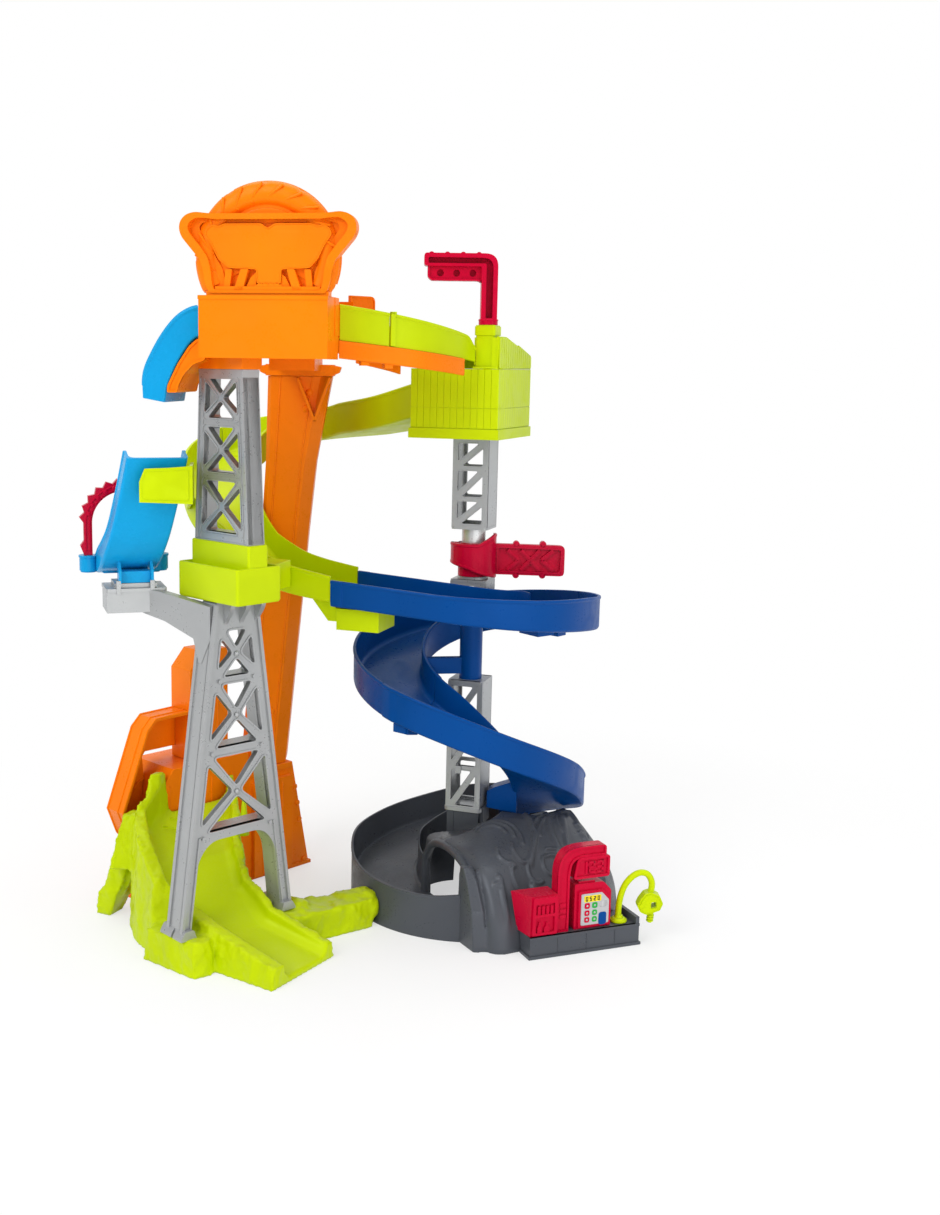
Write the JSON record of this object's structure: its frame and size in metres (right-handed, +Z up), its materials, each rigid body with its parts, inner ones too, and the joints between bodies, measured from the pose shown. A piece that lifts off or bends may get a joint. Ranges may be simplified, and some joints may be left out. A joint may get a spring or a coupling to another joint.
{
  "type": "toy race track",
  "caption": "Tall toy race track: a tower set with a drop ramp, a rock slide, a hairpin and a spiral lane down to a hill tunnel, with a swivelling lever, gate arm and hose.",
  "frame": {"origin": "on the floor under the axis of the right-hand column", "axes": "+Z up, +X to the right and +Y away as the visitor looks at the track"},
  "size_m": [0.5859, 0.4431, 0.7325],
  "materials": {
    "orange": "satin",
    "lime": "satin",
    "silver": "satin metallic grey",
    "red": "satin",
    "deep_blue": "gloss",
    "light_blue": "gloss",
    "grey": "satin",
    "steel": "bright silver",
    "panel": "printed label"
  },
  "bodies": {
    "track": {"rock_base": "lime", "lower_tower_frame": "silver", "tower_collar": "lime", "collar_arm": "lime", "upper_tower_frame": "silver", "platform_socket": "orange", "top_platform": "orange", "tyre_sign": "orange", "top_ramp": "light_blue", "ramp_bracket": "orange", "landing_ramp": "light_blue", "flame_arch": "red", "ramp_arm": "silver", "ramp_clip": "lime", "base_housing": "orange", "base_tower": "orange", "landing_wing": "orange", "rear_column": "orange", "column_head": "orange", "deck": "orange", "near_rail_start": "lime", "near_rail_end": "lime", "deck_guard": "orange", "far_rail": "lime", "house_body": "lime", "house_top": "lime", "upper_column_frame": "silver", "steel_tube": "steel", "middle_column_frame": "silver", "spiral_post": "deep_blue", "lower_column_frame": "silver", "hairpin_upper": "lime", "hairpin_lower": "lime", "spiral_entry": "deep_blue", "spiral_upper": "deep_blue", "spiral_lower": "deep_blue", "grey_channel": "grey", "hill": "grey", "station_tray": "grey", "cabinet": "red", "station_post": "red", "station_board": "red", "pump": "red", "pump_panel": "panel"},
    "lever_arm": {"lever": "red", "lever_clip": "red"},
    "gate": {"gate_arm": "red"},
    "hose": {"gooseneck": "lime", "nozzle": "lime"}
  },
  "joints": [
    {"name": "lever_turn", "type": "hinge", "parent": "track", "child": "lever_arm", "pos_m": [0.00552, -0.05357, 0.615], "axis": [0, 0, 1], "range_deg": [-90, 90]},
    {"name": "gate_turn", "type": "hinge", "parent": "track", "child": "gate", "pos_m": [0, 0, 0.374], "axis": [0, 0, 1], "range_deg": [-70, 150]},
    {"name": "hose_turn", "type": "hinge", "parent": "track", "child": "hose", "pos_m": [0.148, -0.117, 0.022], "axis": [0, 0, 1], "range_deg": [-60, 30]}
  ]
}
